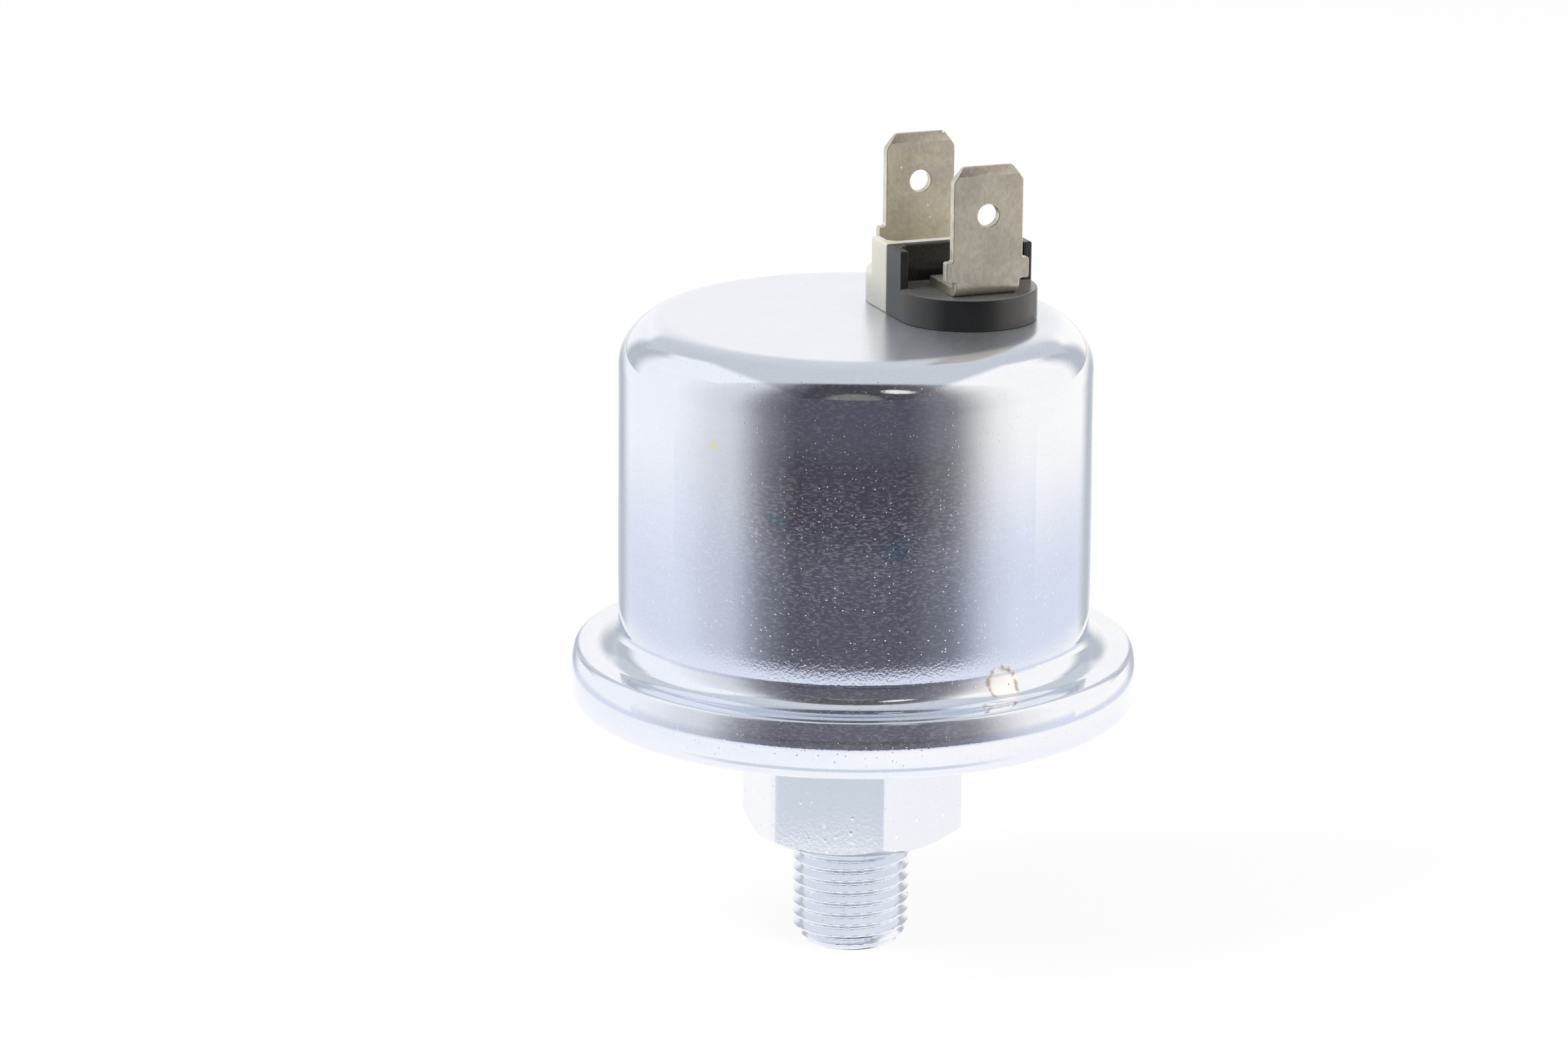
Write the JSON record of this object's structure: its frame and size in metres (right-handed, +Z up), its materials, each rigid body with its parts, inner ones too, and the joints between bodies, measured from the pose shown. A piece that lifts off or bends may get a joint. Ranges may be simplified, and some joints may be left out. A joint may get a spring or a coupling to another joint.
{
  "type": "oil pressure sensor",
  "caption": "Oil pressure sensor: plated steel can with a rolled flange on a hexagon stud with a fine thread, and two flat blade terminals in moulded blocks on top.",
  "frame": {"origin": "on the stud's axis, in the plane of the hexagon's lower face, where the sensor seats on the engine", "axes": "+Z up along the stud's axis, from the thread towards the terminals; +X from the axis towards the pair of terminals; the front terminal, in the black block, lies towards -Y"},
  "size_m": [0.0486, 0.0484, 0.069],
  "materials": {
    "zinc_can": "bluish white zinc plate on drawn sheet, satin with fine grain",
    "zinc_stud": "zinc plate on turned steel, satin",
    "plate_steel": "zinc plated pressed sheet, satin",
    "bright_steel": "plain bright steel, turned or drawn",
    "tin_brass": "tinned brass strip, warm grey satin with small dents",
    "bare_brass": "plain turned brass",
    "spring_bronze": "rolled bronze strip, satin",
    "black_insulator": "dark grey moulded plastic, fine matt",
    "ivory_insulator": "ivory moulded plastic, slightly translucent, satin",
    "board_brown": "pressed laminate, dull brown",
    "gasket_fibre": "black rubber-bonded sheet, dull",
    "resistance_wire": "fine wire wound side by side, dull",
    "contact_silver": "silver contact, bright",
    "tinned_wire": "tinned copper wire, bright"
  },
  "bodies": {
    "housing": {"case_shell": "zinc_can", "base_plate": "plate_steel", "pressure_stud": "zinc_stud", "port_restrictor": "bare_brass", "diaphragm_gasket": "gasket_fibre", "diaphragm": "spring_bronze", "carrier_plate": "plate_steel", "mechanism_bracket": "plate_steel", "bracket_rivets": "bright_steel", "lever_pivot_pin": "bright_steel", "return_spring": "bright_steel", "setting_screw": "bare_brass", "setting_nut": "bare_brass", "resistor_former": "board_brown", "resistor_winding": "resistance_wire", "resistor_holder": "board_brown", "resistor_clip": "bare_brass", "contact_block": "board_brown", "contact_tag": "bare_brass", "contact_nut": "bare_brass", "warning_contact": "bare_brass", "gauge_wire": "tinned_wire", "warning_wire": "tinned_wire", "front_insulator": "black_insulator", "rear_insulator": "ivory_insulator", "front_blade_terminal": "tin_brass", "rear_blade_terminal": "tin_brass", "front_terminal_rivet": "tin_brass", "rear_terminal_rivet": "tin_brass", "front_inner_washer": "board_brown", "rear_inner_washer": "board_brown", "front_inner_tag": "tin_brass", "rear_inner_tag": "tin_brass"},
    "pin": {"push_pin": "bright_steel"},
    "lever": {"lever_arm": "plate_steel", "lever_contact": "contact_silver", "wiper_spring": "spring_bronze", "wiper_rivet": "bare_brass"}
  },
  "joints": [
    {"name": "pin_slide", "type": "slide", "parent": "housing", "child": "pin", "axis": [0, 0, 1], "range_m": [0, 0.0012], "stiffness_N_per_m": 400, "springref_m": -0.0005, "deforming": ["diaphragm"]},
    {"name": "lever_hinge", "type": "hinge", "parent": "housing", "child": "lever", "pos_m": [-0.005, 0, 0.0245], "axis": [0, -1, 0], "range_deg": [0, 15.2], "deforming": ["return_spring"]}
  ],
  "couplings": [
    {"joint": "lever_hinge", "follows": "pin_slide", "rad_per_m": 220}
  ]
}
